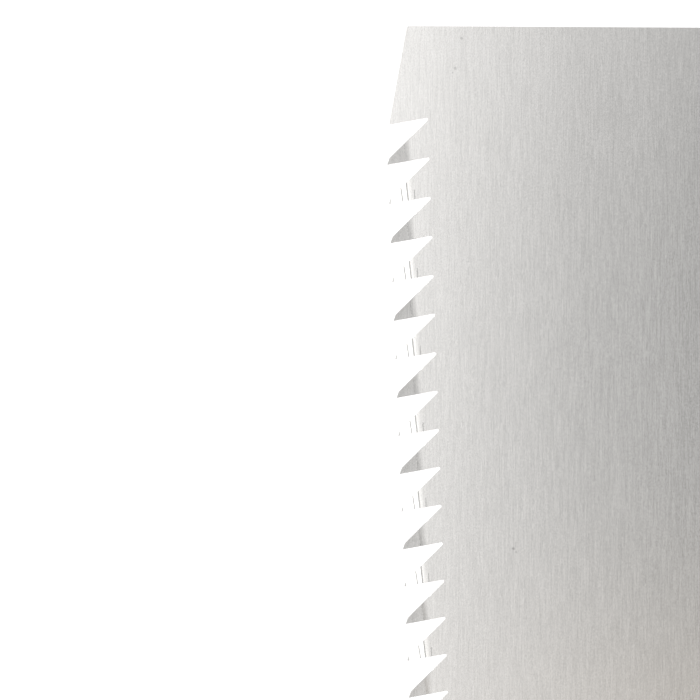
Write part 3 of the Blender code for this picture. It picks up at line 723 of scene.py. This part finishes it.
def makeBladeSteel():
    look = brushedSteel
    made, tree, shader, place = newMaterial("bladeSteel", Metallic=1.0, Anisotropic=look["anisotropy"])
    first, second = (noise(tree, place, size, 1.0) for size in look["hairs"])
    swap = spread(tree, noise(tree, place, look["swap"], 1.0), *look["swapRange"], 0.0, 1.0)
    lines = calc(tree, "MULTIPLY_ADD", calc(tree, "SUBTRACT", second, first), swap, first)
    speck = calc(tree, "SUBTRACT", noise(tree, place, look["speck"], 1.0), 0.5)
    hair = calc(tree, "MULTIPLY_ADD", speck, look["speckShare"], lines)
    tone = spread(tree, hair, 0.0, 1.0, 1 - look["hairShade"], 1 + look["hairShade"])
    for *size, dark in look["bands"]:
        tone = calc(tree, "ADD", tone, spread(tree, noise(tree, place, size, 2.0), 0.0, 1.0, -dark, dark))
    for x, y, size, dark in look["pits"]:
        centre = (x * mm, toeY + y * mm, sheetZ + bladeCuts["thickness"] / 2)
        away = addNode(tree, "VectorMath", {0: place, 1: centre}, operation="DISTANCE").outputs["Value"]
        core = look["pitCore"] * size * mm
        pit = spread(tree, away, core, size * mm, dark, 1.0, "SMOOTHSTEP")
        tone = calc(tree, "MULTIPLY", tone, pit)
    tree.links.new(shade(tree, look["colour"], tone), shader.inputs["Base Color"])
    smooth, swing = look["roughness"], look["roughSwing"]
    rough = spread(tree, hair, *mostOf, smooth - swing, smooth + swing)
    tree.links.new(rough, shader.inputs["Roughness"])
    tree.links.new(bumpFrom(tree, hair, look["hairBump"]), shader.inputs["Normal"])
    grain = addNode(tree, "Tangent", direction_type="UV_MAP", uv_map="grain")
    tree.links.new(grain.outputs[0], shader.inputs["Tangent"])
    return made


# Socket, screw, washer and nut.
socketFold = {
    "half": 10.5 * mm,
    "halfThick": 2.05 * mm,
    "slot": 0.55 * mm,
    "reach": 30.0 * mm,
    "seat": 60.0 * mm,
    "corner": 3.0 * mm,
    "hole": 2.7 * mm,
    "rim": 0.25 * mm,
    "pinPlaces": (30.0 * mm, 48.0 * mm),
    "pinHole": 2.3 * mm,
    "foldSteps": 24,
    "cornerPoints": 12,
}
clampScrew = {
    "seat": 3.85 * mm,  # underside of the head, above the middle of the blade
    "headRadius": 4.75 * mm,
    "headRim": 1.8 * mm,
    "dome": 1.2 * mm,
    "domeSteps": 12,
    "domeTip": 0.02 * mm,
    "headSides": 72,
    "slotWidth": 1.2 * mm,
    "slotDepth": 1.5 * mm,
    "shank": 2.4 * mm,
    "threadDepth": 0.3 * mm,
    "threadPitch": 0.8 * mm,  # as the screw lifts in one turn
    "length": 11.2 * mm,
    "endChamfer": 0.5 * mm,
    "stub": (0.8, 0.4 * mm),  # inside the thread: share of the shank and length
    "drop": 0.02 * mm,  # of the thread, below the head
    "rim": 0.18 * mm,
    "rimAngle": 35.0,
    "sides": 48,
    "rowsPerTurn": 12,
}
springWasher = {
    "seat": 2.35 * mm,
    "inner": 2.7 * mm,
    "outer": 4.38 * mm,
    "thick": 1.2 * mm,
    "split": math.radians(14.0),
    "rim": 0.12 * mm,
    "rimPoints": 4,
    "steps": 72,
}
clampNut = {
    "seat": -2.35 * mm,
    "acrossFlats": 8.0 * mm,
    "thick": 4.0 * mm,
    "bore": 2.45 * mm,
    "boreChamfer": 0.5 * mm,
    "fall": 0.6,  # slope of the turned corners
    "wide": 0.3 * mm,  # turned this far past the corners
    "rim": 0.1 * mm,
    "sides": 96,
    "boreSides": 48,
}


def socketShape():
    fold, thick, slot = socketFold, socketFold["halfThick"], socketFold["slot"]
    foldX, openX = -fold["half"] + thick, fold["half"]
    turns = [math.pi / 2 + math.pi * step / fold["foldSteps"] for step in range(fold["foldSteps"] + 1)]
    outside = [(foldX + thick * math.cos(a), thick * math.sin(a)) for a in turns]
    inside = [(foldX + slot * math.cos(a), slot * math.sin(a)) for a in reversed(turns)]
    section = [(openX, thick)] + outside + [(openX, -thick), (openX, -slot)] + inside + [(openX, slot)]
    back, mouth = frontY - fold["seat"], frontY + fold["reach"]
    blank = skin([[(x, y, sheetZ + z) for x, z in section] for y in (back, mouth)])
    left = roundedCorner((0.0, mouth), (-openX, mouth), (-openX, back), fold["corner"], fold["cornerPoints"])
    wide, shoulder = openX + past, mouth - fold["corner"]
    plan = left + [(-wide, shoulder), (-wide, back - past), (wide, back - past), (wide, shoulder)]
    plan += [(-x, y) for x, y in reversed(left)]
    cuts = [("INTERSECT", prism(plan, sheetZ - past, sheetZ + past))]
    holes = [(screwY, fold["hole"])] + [(frontY - behind, fold["pinHole"]) for behind in fold["pinPlaces"]]
    for y, radius in holes:
        cuts.append(("DIFFERENCE", turned([(radius, past), (radius, -past)], (0.0, y, sheetZ))))
    return carve(blank, cuts, fold["rim"])


def screwShape():
    size = clampScrew
    centre = (0.0, screwY, sheetZ + size["seat"])
    profile = []
    for step in range(size["domeSteps"], -1, -1):
        turn = math.pi / 2 * step / size["domeSteps"]
        radius = max(size["headRadius"] * math.cos(turn), size["domeTip"])
        profile.append((radius, size["headRim"] + size["dome"] * math.sin(turn)))
    stubShare, stubEnd = size["stub"]
    profile += [(size["headRadius"], 0.0), (size["shank"], 0.0), (stubShare * size["shank"], -stubEnd)]
    reach, half = size["headRadius"] + past, size["slotWidth"] / 2
    top = centre[2] + size["headRim"] + size["dome"]
    slot = block((-reach, screwY - half, top - size["slotDepth"]), (reach, screwY + half, top + past))
    blank = turned(profile, centre, size["headSides"])
    head = carve(blank, [("DIFFERENCE", slot)], size["rim"], size["rimAngle"])
    rows = round(size["length"] / size["threadPitch"] * size["rowsPerTurn"])
    rings = []
    for row in range(rows + 1):
        down = size["length"] * row / rows
        ring = []
        for side in range(size["sides"]):
            share = side / size["sides"]
            phase = (-down / size["threadPitch"] - share) % 1.0
            depth = size["threadDepth"] * abs(2 * phase - 1)
            ending = down - size["length"] + size["endChamfer"]
            radius = size["shank"] - max(depth, ending)
            turn = 2 * math.pi * share
            z = centre[2] - size["drop"] - down
            ring.append((radius * math.cos(turn), screwY + radius * math.sin(turn), z))
        rings.append(ring)
    shank = skin(rings)
    mesh = bpy.data.meshes.new("thread")
    shank.to_mesh(mesh)
    shank.free()
    head.from_mesh(mesh)
    bpy.data.meshes.remove(mesh)
    return head


def washerShape():
    size = springWasher
    inner, outer, thick = size["inner"], size["outer"], size["thick"]
    corners = [(inner, 0.0), (outer, 0.0), (outer, thick), (inner, thick)]
    section = []
    for index, corner in enumerate(corners):
        after = corners[(index + 1) % len(corners)]
        section += roundedCorner(corners[index - 1], corner, after, size["rim"], size["rimPoints"])
    sweep = 2 * math.pi - size["split"]
    angles = [size["split"] / 2 + sweep * step / size["steps"] for step in range(size["steps"] + 1)]
    z = sheetZ + size["seat"]
    return skin([[(r * math.cos(a), screwY + r * math.sin(a), z + h) for r, h in section] for a in angles])


def nutShape():
    size, thick = clampNut, clampNut["thick"]
    z = sheetZ + size["seat"]
    centre = (0.0, screwY, z)
    rim, reach = size["acrossFlats"] / 2, size["acrossFlats"] / math.sqrt(3)
    turns = [math.pi / 3 * corner for corner in range(6)]
    corners = [(reach * math.cos(turn), screwY + reach * math.sin(turn)) for turn in turns]
    wide = reach + size["wide"]
    fall = (wide - rim) * size["fall"]
    blank = turned([(rim, 0.0), (wide, -fall), (wide, fall - thick), (rim, -thick)], centre, size["sides"])
    hole, chamfer = size["bore"], size["boreChamfer"]
    mouth, above = hole + chamfer, 2 * chamfer
    profile = [(mouth, above), (hole, -chamfer), (hole, chamfer - thick), (mouth, -above - thick)]
    bore = turned(profile, centre, size["boreSides"])
    return carve(prism(corners, z - thick, z), [("INTERSECT", blank), ("DIFFERENCE", bore)], size["rim"])


platedSteel = {
    "colour": (0.62, 0.62, 0.61),
    "roughness": 0.30,
    "roughSwing": 0.07,
    "mottle": 0.05,
    "speck": 0.6 * mm,
    "speckBump": 0.004 * mm,
    "rub": 6.0 * mm,
}
zincPlate = {
    "colour": (0.56, 0.57, 0.58),
    "roughness": 0.34,
    "roughSwing": 0.07,
    "mottle": 0.08,
    "speck": 0.35 * mm,
    "speckBump": 0.004 * mm,
    "rub": 3.0 * mm,
}


def makePlate(name, look):
    made, tree, shader, place = newMaterial(name, Metallic=1.0)
    fine = noise(tree, place, (look["speck"],) * 3, 3.0)
    rub = noise(tree, place, (look["rub"],) * 3, 4.0)
    mottle, smooth, swing = look["mottle"], look["roughness"], look["roughSwing"]
    speckled = spread(tree, fine, *mostOf, 1 - mottle, 1 + mottle)
    tone = calc(tree, "ADD", speckled, spread(tree, rub, *mostOf, -mottle, mottle))
    tree.links.new(shade(tree, look["colour"], tone), shader.inputs["Base Color"])
    tree.links.new(spread(tree, rub, *mostOf, smooth - swing, smooth + swing), shader.inputs["Roughness"])
    tree.links.new(bumpFrom(tree, fine, look["speckBump"]), shader.inputs["Normal"])
    return made


# Handle: wood, ferrule and cane.
handleForm = {
    "length": 290.0 * mm,
    "frontHalf": (14.0 * mm, 10.25 * mm),  # half width and half thickness
    "buttHalf": (15.5 * mm, 11.5 * mm),
    "tenon": (1.3 * mm, 14.3 * mm),  # how far in, and how far back
    "recess": (1.9 * mm, 19.7 * mm, 216.5 * mm),
    "buttRound": 2.5 * mm,
    "edgeRound": 0.35 * mm,
    "glueLine": 0.2 * mm,
    "pocket": (10.8 * mm, 60.3 * mm, 2.35 * mm),
    "arc": 20,  # points in a quarter of the oval
    "edgeSteps": 4,
    "buttSteps": 10,
}
ferruleBand = {
    "length": 14.0 * mm,
    "wall": 1.0 * mm,
    "round": 0.35 * mm,
    "roundSteps": 5,
    "scribes": (2.4 * mm, 11.6 * mm),
    "scribeHalf": 0.2 * mm,
    "scribeDeep": 0.16 * mm,
    "arc": 24,
    "flat": 8,
}
caneStrip = {
    "width": 8.1 * mm,
    "thick": 1.6 * mm,
    "edge": 0.9 * mm,
    "clear": 0.3 * mm,  # off the wood
    "gap": 0.45 * mm,
    "turns": 24,
    "start": 20.0 * mm,
    "shaved": 0.95 * mm,
    "arc": 22,  # points in each half circle
    "flat": 8,  # points along each flat
    "crown": 3.0,  # how square the strip's back is
    "shares": (0.015, 0.05, 0.12, 0.22, 0.34, 0.5, 0.66, 0.78, 0.88, 0.95, 0.985),  # points across its back
    "edgeFall": 0.2 * mm,
    "underRound": (0.03, 0.1 * mm),
    "sharpOver": 50.0,
}


def halfAt(y, inset):
    share = (frontY - y) / handleForm["length"]
    ends = zip(handleForm["frontHalf"], handleForm["buttHalf"])
    halfWidth, halfThick = (front + (butt - front) * share for front, butt in ends)
    return halfWidth - inset, halfThick - inset


def ovalTurns(arc, flat):
    # places round a flat-sided oval: (x share of the flat, turn of the round side)
    right = [(1.0, -math.pi / 2 + math.pi * step / arc) for step in range(arc + 1)]
    top = [(1.0 - 2.0 * step / flat, math.pi / 2) for step in range(1, flat)]
    left = [(-1.0, math.pi / 2 + math.pi * step / arc) for step in range(arc + 1)]
    under = [(-1.0 + 2.0 * step / flat, -math.pi / 2) for step in range(1, flat)]
    return under[flat // 2 - 1:] + right + top + left + under[: flat // 2 - 1]


def onOval(y, inset, place):
    halfWidth, halfThick = halfAt(y, inset)
    flatShare, turn = place
    x = flatShare * (halfWidth - halfThick) + halfThick * math.cos(turn)
    return x, y, sheetZ + halfThick * math.sin(turn)


def coreSteps():
    form = handleForm
    tenonIn, tenonBack = form["tenon"]
    recessIn, recessFront, recessBack = form["recess"]
    r = form["edgeRound"]
    steps = [(0.0, tenonIn), (tenonBack, tenonIn)]
    quarter = [math.pi / 2 * step / form["edgeSteps"] for step in range(form["edgeSteps"] + 1)]
    steps += [(tenonBack + r * (1 - math.cos(a)), r * (1 - math.sin(a))) for a in quarter]
    steps += [(recessFront - r * (1 - math.sin(a)), r * (1 - math.cos(a))) for a in quarter]
    steps += [(recessFront, recessIn), (recessBack, recessIn)]
    steps += [(recessBack + r * (1 - math.cos(a)), r * (1 - math.sin(a))) for a in quarter]
    big = form["buttRound"]
    rounds = [math.pi / 2 * step / form["buttSteps"] for step in range(form["buttSteps"] + 1)]
    steps += [(form["length"] - big * (1 - math.sin(a)), big * (1 - math.cos(a))) for a in rounds]
    return steps


def coreShape(up):
    form = handleForm
    quarter = [math.pi / 2 * step / form["arc"] for step in range(form["arc"] + 1)]
    places = [(1.0, a) for a in quarter] + [(0.5, math.pi / 2), (0.0, math.pi / 2), (-0.5, math.pi / 2)]
    places += [(-1.0, math.pi - a) for a in reversed(quarter)]
    rings = []
    for back, inset in coreSteps():
        ring = []
        for place in places:
            x, y, z = onOval(frontY - back, inset, place)
            ring.append((x, y, sheetZ + up * max(z - sheetZ, form["glueLine"] / 2)))
        rings.append(ring)
    halfWide, deep, halfHigh = form["pocket"]
    low, high = sheetZ - halfHigh, sheetZ + halfHigh
    pocket = block((-halfWide, frontY - deep, low), (halfWide, frontY + past, high))
    return carve(skin(rings, halves=True), [("DIFFERENCE", pocket)])


def ferruleShape():
    band = ferruleBand
    quarter = [math.pi / 2 * step / band["roundSteps"] for step in range(band["roundSteps"] + 1)]
    r, length, half = band["round"], band["length"], band["scribeHalf"]
    ends = [(r * (1 - math.sin(a)), r * (1 - math.cos(a))) for a in quarter]  # back from the end, and in
    profile = ends[::-1]
    for place in band["scribes"]:
        profile += [(place - half, 0.0), (place, band["scribeDeep"]), (place + half, 0.0)]
    profile += [(length - back, inset) for back, inset in ends]
    profile += [(length, band["wall"]), (0.0, band["wall"])]
    places = ovalTurns(band["arc"], band["flat"])
    rings = [[onOval(frontY - back, inset, place) for place in places] for back, inset in profile]
    return skin(rings, closed=True)


def stripEdges(turn):
    pitch = caneStrip["width"] + caneStrip["gap"]
    wrapEnd = caneStrip["start"] + pitch * (caneStrip["turns"] - 1) - caneStrip["gap"]
    front = caneStrip["start"] + pitch * (turn - 1)
    return max(front, caneStrip["start"]), min(front + caneStrip["width"], wrapEnd)


def stripSection():
    # (share across from front to back, height above the wood), underside first
    cane = caneStrip
    low, edge, high = cane["clear"], cane["clear"] + cane["edge"], cane["clear"] + cane["thick"]
    upper = []
    for share in cane["shares"]:
        upper.append((share, edge + (high - edge) * (1 - abs(2 * share - 1) ** cane["crown"])))
    corner, rise = cane["underRound"]
    side = edge - cane["edgeFall"]
    under = [(1.0, low + rise), (1 - corner, low), (corner, low), (0.0, low + rise)]
    return under + [(0.0, side)] + upper + [(1.0, side)]


def caneShape():
    cane = caneStrip
    places = ovalTurns(cane["arc"], cane["flat"])
    section = stripSection()
    recess = handleForm["recess"][0]
    pitch = cane["width"] + cane["gap"]
    skipped = math.ceil((cane["gap"] + cane["shaved"]) / pitch * len(places))
    stations = []
    for turn in range(cane["turns"]):
        stations += [(turn + index / len(places), place) for index, place in enumerate(places)]
    rings = []
    for turn, place in stations[skipped:-skipped]:
        front, back = stripEdges(turn)
        ring = []
        for share, height in section:
            ring.append(onOval(frontY - front - (back - front) * share, recess - height, place))
        rings.append(ring)
    shape = skin(rings)
    along = shape.verts.layers.float.new("stripAlong")
    across = shape.verts.layers.float.new("stripAcross")
    shape.verts.ensure_lookup_table()
    length = 0.0
    middle = len(section) // 2
    for index, ring in enumerate(rings):
        if index:
            length += (Vector(ring[middle]) - Vector(rings[index - 1][middle])).length
        for corner, (share, _) in enumerate(section):
            vert = shape.verts[index * len(section) + corner]
            vert[along] = length
            vert[across] = share * cane["width"]
    return shape


paleWood = {
    "early": (0.70, 0.515, 0.315),
    "late": (0.56, 0.375, 0.205),
    "heart": (0.031, 0.0, -0.044),  # middle of the growth rings
    "ring": 2.6 * mm,
    "ringTones": ((0.0, 0.0), (0.55, 0.22), (0.86, 1.0), (0.97, 0.8), (1.0, 0.0)),  # early to late wood
    "ringLean": 0.02,  # how much the rings close in along the handle
    "wobble": (12.0 * mm, 140.0 * mm, 12.0 * mm),
    "wobbleRings": 2.2,
    "fibre": (0.18 * mm, 6.0 * mm, 0.18 * mm),
    "fibreTone": (0.90, 1.08),
    "pore": (0.10 * mm, 1.4 * mm, 0.10 * mm),
    "poreRange": (0.60, 0.72),
    "poreTone": 0.78,
    "poreShare": 0.8,  # of the bump
    "roughness": (0.62, 0.46),
    "bump": 0.03 * mm,
}


def makeWood():
    look = paleWood
    made, tree, shader, place = newMaterial("paleWood", IOR=1.45)
    wobble = noise(tree, place, look["wobble"], 2.0)
    away = addNode(tree, "VectorMath", {0: place, 1: look["heart"]}, operation="SUBTRACT").outputs["Vector"]
    squeeze = (1.0, look["ringLean"], 1.0)
    flat = addNode(tree, "VectorMath", {0: away, 1: squeeze}, operation="MULTIPLY").outputs["Vector"]
    radius = addNode(tree, "VectorMath", {0: flat}, operation="LENGTH").outputs["Value"]
    shifted = calc(tree, "MULTIPLY", wobble, look["wobbleRings"])
    ring = calc(tree, "FRACT", calc(tree, "MULTIPLY_ADD", radius, 1 / look["ring"], shifted))
    grown = ramp(tree, ring, [(share, (tone,) * 3) for share, tone in look["ringTones"]])
    fibre = noise(tree, place, look["fibre"], 3.0, 0.6)
    pore = noise(tree, place, look["pore"], 1.0)
    colour = blendColours(tree, grown, look["early"], look["late"])
    dark = spread(tree, pore, *look["poreRange"], 1.0, look["poreTone"], "SMOOTHSTEP")
    tone = calc(tree, "MULTIPLY", spread(tree, fibre, 0.25, 0.75, *look["fibreTone"]), dark)
    tree.links.new(shade(tree, colour, tone), shader.inputs["Base Color"])
    tree.links.new(spread(tree, fibre, *mostOf, *look["roughness"]), shader.inputs["Roughness"])
    height = calc(tree, "MULTIPLY_ADD", dark, look["poreShare"], fibre)
    tree.links.new(bumpFrom(tree, height, look["bump"]), shader.inputs["Normal"])
    return made


caneSkin = {
    "tones": ((0.34, (0.52, 0.325, 0.125)), (0.50, (0.68, 0.475, 0.220)), (0.66, (0.79, 0.615, 0.345))),
    "roughness": (0.48, 0.36),
    "fibre": (14.0 * mm, 0.22 * mm, 1.0),
    "fibreBump": 0.05 * mm,
    "blotch": (55.0 * mm, 3.5 * mm, 1.0),
    "length": (170.0 * mm, 30.0 * mm, 1.0),  # one length of cane differs from the next
    "shares": (0.40, 0.30, 0.30),
    "jointEvery": 0.31,  # a cane joint shows as a dark line in a brown band across the strip
    "jointLine": (0.35 * mm, 0.62),
    "jointBand": (2.0 * mm, 0.80),  # half width and shade
    "jointCore": 0.3,
    "jointDrift": (1.0, 9.0 * mm, 1.0),
    "jointRaise": 0.12 * mm,
}


def makeCane():
    look = caneSkin
    made, tree, shader, _ = newMaterial("caneSkin", IOR=1.5, Coat_Weight=0.45, Coat_Roughness=0.22)
    along = addNode(tree, "Attribute", attribute_name="stripAlong").outputs["Fac"]
    across = addNode(tree, "Attribute", attribute_name="stripAcross").outputs["Fac"]
    onStrip = addNode(tree, "CombineXYZ", {"X": along, "Y": across}).outputs["Vector"]
    fibre = noise(tree, onStrip, look["fibre"], 4.0, 0.65)
    blotch = noise(tree, onStrip, look["blotch"], 3.0)
    mixed = calc(tree, "MULTIPLY", noise(tree, onStrip, look["length"], 1.0), look["shares"][2])
    for layer, share in zip((fibre, blotch), look["shares"]):
        mixed = calc(tree, "MULTIPLY_ADD", layer, share, mixed)
    colour = ramp(tree, mixed, look["tones"])
    drift = calc(tree, "MULTIPLY", noise(tree, onStrip, look["jointDrift"], 0.0), look["jointBand"][0])
    count = calc(tree, "MULTIPLY", calc(tree, "ADD", along, drift), 1 / look["jointEvery"])
    away = calc(tree, "ABSOLUTE", calc(tree, "SUBTRACT", calc(tree, "FRACT", count), 0.5))
    away = calc(tree, "MULTIPLY", away, look["jointEvery"])
    for wide, dark in (look["jointLine"], look["jointBand"]):
        stain = spread(tree, away, look["jointCore"] * wide, wide, dark, 1.0, "SMOOTHSTEP")
        colour = shade(tree, colour, stain)
    tree.links.new(colour, shader.inputs["Base Color"])
    tree.links.new(spread(tree, blotch, *mostOf, *look["roughness"]), shader.inputs["Roughness"])
    raised = spread(tree, away, 0.0, look["jointBand"][0], look["jointRaise"], 0.0, "SMOOTHSTEP")
    height = calc(tree, "MULTIPLY_ADD", fibre, look["fibreBump"], raised)
    tree.links.new(bumpFrom(tree, height, 1.0), shader.inputs["Normal"])
    return made


satinBrass = {
    "colour": (0.72, 0.53, 0.25),
    "hair": (3.0 * mm, 0.10 * mm, 3.0 * mm),  # turning marks run round the band
    "hairTone": (0.92, 1.06),
    "hairBump": 0.003 * mm,
    "dull": 7.0 * mm,
    "dullRange": (0.35, 0.7),
    "dullTone": (0.86, 1.03),
    "roughness": (0.38, 0.26),
}


def makeBrass():
    look = satinBrass
    made, tree, shader, place = newMaterial("satinBrass", Metallic=1.0)
    hair = noise(tree, place, look["hair"], 3.0)
    dull = noise(tree, place, (look["dull"],) * 3, 4.0)
    worn = spread(tree, dull, *look["dullRange"], *look["dullTone"])
    tone = calc(tree, "MULTIPLY", spread(tree, hair, *mostOf, *look["hairTone"]), worn)
    tree.links.new(shade(tree, look["colour"], tone), shader.inputs["Base Color"])
    tree.links.new(spread(tree, dull, *mostOf, *look["roughness"]), shader.inputs["Roughness"])
    tree.links.new(bumpFrom(tree, hair, look["hairBump"]), shader.inputs["Normal"])
    return made


addCamera()
addWorld()
addFloor()
addKey()
print("saw: camera, light and floor")

makePiece("sawBlade", bladeShape(), makeBladeSteel(), "blade", ["blade"], bladeCuts["sharpOver"])
print("saw: blade")
plated = makePlate("platedSteel", platedSteel)
zinc = makePlate("zincPlate", zincPlate)
makePiece("socket", socketShape(), plated, "handle", ["blade_socket"])
makePiece("clampScrew", screwShape(), zinc, "screw", ["clamp_screw"])
makePiece("springWasher", washerShape(), zinc, "washer", ["spring_washer"])
makePiece("clampNut", nutShape(), zinc, "handle", ["clamp_nut"])
print("saw: socket and clamp")
wood = makeWood()
makePiece("upperCore", coreShape(1), wood, "handle", ["handle_core_upper"])
makePiece("lowerCore", coreShape(-1), wood, "handle", ["handle_core_lower"])
makePiece("ferrule", ferruleShape(), makeBrass(), "handle", ["front_ferrule"])
makePiece("caneWrap", caneShape(), makeCane(), "handle", ["cane_wrap"], caneStrip["sharpOver"])
for node in ("socket_pin_front", "socket_pin_rear"):
    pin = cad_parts[node]
    pin.data.materials.clear()
    pin.data.materials.append(plated)
print("saw: handle")
